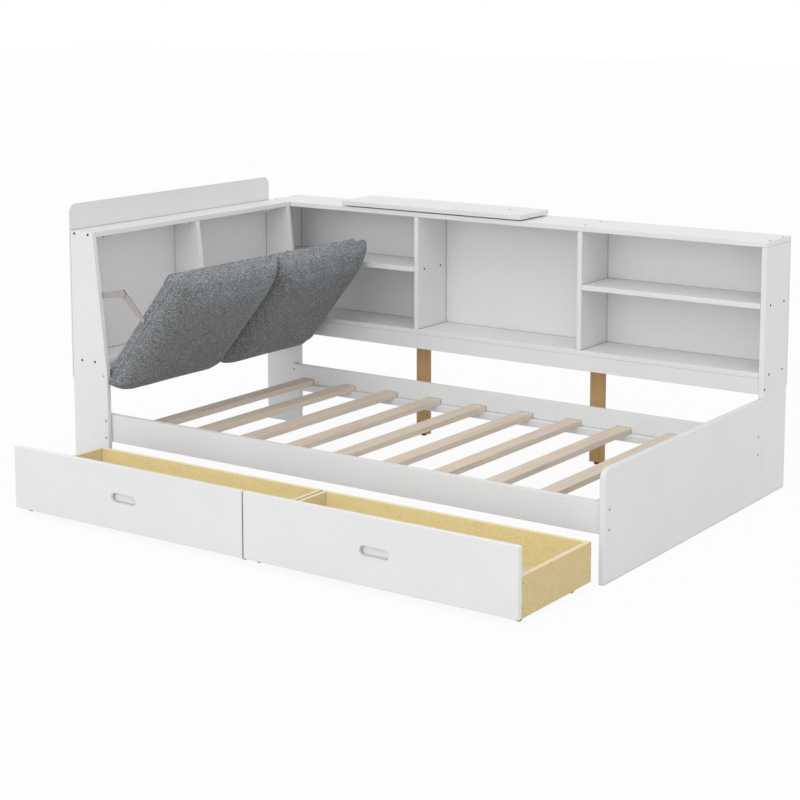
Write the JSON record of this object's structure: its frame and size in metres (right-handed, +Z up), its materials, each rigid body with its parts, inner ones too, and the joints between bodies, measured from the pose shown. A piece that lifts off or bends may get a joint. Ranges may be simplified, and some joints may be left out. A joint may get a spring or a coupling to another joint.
{
  "type": "storage headboard bed",
  "caption": "Low single bed with a cabinet headboard behind tilting padded doors, an open bookcase along the wall side, a swivel board on it and rolling drawers below.",
  "frame": {"origin": "on the floor under the middle of the whole part at rest, with its drawers drawn out", "axes": "+X from the head to the foot, +Y from the open side with the drawers to the bookcase at the wall, +Z up"},
  "size_m": [2.11, 1.7286, 0.964],
  "materials": {
    "white_mdf": "white paint on fibreboard, satin",
    "poplar": "bare poplar, planed",
    "pine": "clear pine, planed",
    "pine_box": "clear pine, planed",
    "pine_ply": "thin pine plywood, sanded",
    "heather_fabric": "grey-blue heather weave over foam",
    "stay_steel": "off-white coated sheet steel",
    "pivot_steel": "yellow passivated steel",
    "catch_plastic": "white moulded plastic",
    "glide_plastic": "black moulded plastic",
    "zinc_steel": "bright zinc-plated sheet steel",
    "wheel_plastic": "light grey hard plastic"
  },
  "bodies": {
    "frame": {"bookcase_apron": "white_mdf", "bookcase_back": "white_mdf", "bookcase_divider_left": "white_mdf", "bookcase_divider_right": "white_mdf", "bookcase_floor": "white_mdf", "bookcase_shelf_left": "white_mdf", "bookcase_shelf_right": "white_mdf", "bookcase_side_left": "white_mdf", "bookcase_side_right": "white_mdf", "bookcase_top": "white_mdf", "door_catches": "catch_plastic", "door_pivot_pins": "pivot_steel", "foot_panel": "white_mdf", "headboard_back": "white_mdf", "headboard_divider": "white_mdf", "headboard_floor": "white_mdf", "headboard_side_far": "white_mdf", "headboard_side_near": "white_mdf", "headboard_top": "white_mdf", "ledgers": "white_mdf", "leg_posts": "pine", "post_glides": "glide_plastic", "rail_front": "white_mdf", "rail_rear": "white_mdf", "slats": "poplar", "stay_plates": "stay_steel", "swivel_base": "zinc_steel"},
    "door_far": {"door_far_board": "white_mdf", "door_far_cushion": "heather_fabric", "door_far_fittings": "stay_steel"},
    "stay_lower_far": {"door_far_stay_lower": "stay_steel"},
    "stay_upper_far": {"door_far_stay_upper": "stay_steel"},
    "door_near": {"door_near_board": "white_mdf", "door_near_cushion": "heather_fabric", "door_near_fittings": "stay_steel"},
    "stay_lower_near": {"door_near_stay_lower": "stay_steel"},
    "stay_upper_near": {"door_near_stay_upper": "stay_steel"},
    "drawer_left": {"drawer_left_bottom": "pine_ply", "drawer_left_casters": "zinc_steel", "drawer_left_ends": "pine_box", "drawer_left_front": "white_mdf", "drawer_left_sides": "pine_box"},
    "drawer_left_wheel_back_left": {"drawer_left_wheel_back_left": "wheel_plastic"},
    "drawer_left_wheel_back_right": {"drawer_left_wheel_back_right": "wheel_plastic"},
    "drawer_left_wheel_front_left": {"drawer_left_wheel_front_left": "wheel_plastic"},
    "drawer_left_wheel_front_right": {"drawer_left_wheel_front_right": "wheel_plastic"},
    "drawer_right": {"drawer_right_bottom": "pine_ply", "drawer_right_casters": "zinc_steel", "drawer_right_ends": "pine_box", "drawer_right_front": "white_mdf", "drawer_right_sides": "pine_box"},
    "drawer_right_wheel_back_left": {"drawer_right_wheel_back_left": "wheel_plastic"},
    "drawer_right_wheel_back_right": {"drawer_right_wheel_back_right": "wheel_plastic"},
    "drawer_right_wheel_front_left": {"drawer_right_wheel_front_left": "wheel_plastic"},
    "drawer_right_wheel_front_right": {"drawer_right_wheel_front_right": "wheel_plastic"},
    "swivel": {"swivel_board": "white_mdf", "swivel_plate": "zinc_steel", "swivel_screw": "zinc_steel"}
  },
  "joints": [
    {"name": "door_near_tilt", "type": "hinge", "parent": "frame", "child": "door_near", "pos_m": [-0.907, -0.14425, 0.376], "axis": [0, -1, 0], "range_deg": [0, 44.95]},
    {"name": "stay_upper_near_turn", "type": "hinge", "parent": "frame", "child": "stay_upper_near", "pos_m": [-0.942, -0.40395, 0.652], "axis": [0, -1, 0], "range_deg": [-0.5, 82.24]},
    {"name": "stay_lower_near_turn", "type": "hinge", "parent": "door_near", "child": "stay_lower_near", "pos_m": [-0.73892, -0.40165, 0.5873], "axis": [0, -1, 0], "range_deg": [-89.97, 0.5]},
    {"name": "door_far_tilt", "type": "hinge", "parent": "frame", "child": "door_far", "pos_m": [-0.907, 0.38675, 0.376], "axis": [0, -1, 0], "range_deg": [0, 44.95]},
    {"name": "stay_upper_far_turn", "type": "hinge", "parent": "frame", "child": "stay_upper_far", "pos_m": [-0.942, 0.64645, 0.652], "axis": [0, -1, 0], "range_deg": [-0.5, 82.24]},
    {"name": "stay_lower_far_turn", "type": "hinge", "parent": "door_far", "child": "stay_lower_far", "pos_m": [-0.73892, 0.64415, 0.5873], "axis": [0, -1, 0], "range_deg": [-89.97, 0.5]},
    {"name": "swivel_turn", "type": "hinge", "parent": "frame", "child": "swivel", "pos_m": [-0.018, 0.79325, 0.876], "axis": [0, 0, 1], "range_deg": [0, 90]},
    {"name": "drawer_left_slide", "type": "slide", "parent": "frame", "child": "drawer_left", "axis": [0, 1, 0], "range_m": [0, 0.44]},
    {"name": "drawer_left_wheel_front_left_spin", "type": "hinge", "parent": "drawer_left", "child": "drawer_left_wheel_front_left", "pos_m": [-0.862, -0.81825, 0.013], "axis": [1, 0, 0], "continuous": true},
    {"name": "drawer_left_wheel_front_right_spin", "type": "hinge", "parent": "drawer_left", "child": "drawer_left_wheel_front_right", "pos_m": [0.0455, -0.81825, 0.013], "axis": [1, 0, 0], "continuous": true},
    {"name": "drawer_left_wheel_back_left_spin", "type": "hinge", "parent": "drawer_left", "child": "drawer_left_wheel_back_left", "pos_m": [-0.862, -0.53225, 0.013], "axis": [1, 0, 0], "continuous": true},
    {"name": "drawer_left_wheel_back_right_spin", "type": "hinge", "parent": "drawer_left", "child": "drawer_left_wheel_back_right", "pos_m": [0.0455, -0.53225, 0.013], "axis": [1, 0, 0], "continuous": true},
    {"name": "drawer_right_slide", "type": "slide", "parent": "frame", "child": "drawer_right", "axis": [0, 1, 0], "range_m": [0, 0.44]},
    {"name": "drawer_right_wheel_front_left_spin", "type": "hinge", "parent": "drawer_right", "child": "drawer_right_wheel_front_left", "pos_m": [0.1015, -0.81825, 0.013], "axis": [1, 0, 0], "continuous": true},
    {"name": "drawer_right_wheel_front_right_spin", "type": "hinge", "parent": "drawer_right", "child": "drawer_right_wheel_front_right", "pos_m": [1.009, -0.81825, 0.013], "axis": [1, 0, 0], "continuous": true},
    {"name": "drawer_right_wheel_back_left_spin", "type": "hinge", "parent": "drawer_right", "child": "drawer_right_wheel_back_left", "pos_m": [0.1015, -0.53225, 0.013], "axis": [1, 0, 0], "continuous": true},
    {"name": "drawer_right_wheel_back_right_spin", "type": "hinge", "parent": "drawer_right", "child": "drawer_right_wheel_back_right", "pos_m": [1.009, -0.53225, 0.013], "axis": [1, 0, 0], "continuous": true}
  ],
  "couplings": [
    {"joint": "stay_upper_near_turn", "follows": "door_near_tilt", "ratio": 1.8185},
    {"joint": "stay_lower_near_turn", "follows": "door_near_tilt", "ratio": -1.9904},
    {"joint": "stay_upper_far_turn", "follows": "door_far_tilt", "ratio": 1.8185},
    {"joint": "stay_lower_far_turn", "follows": "door_far_tilt", "ratio": -1.9904}
  ]
}
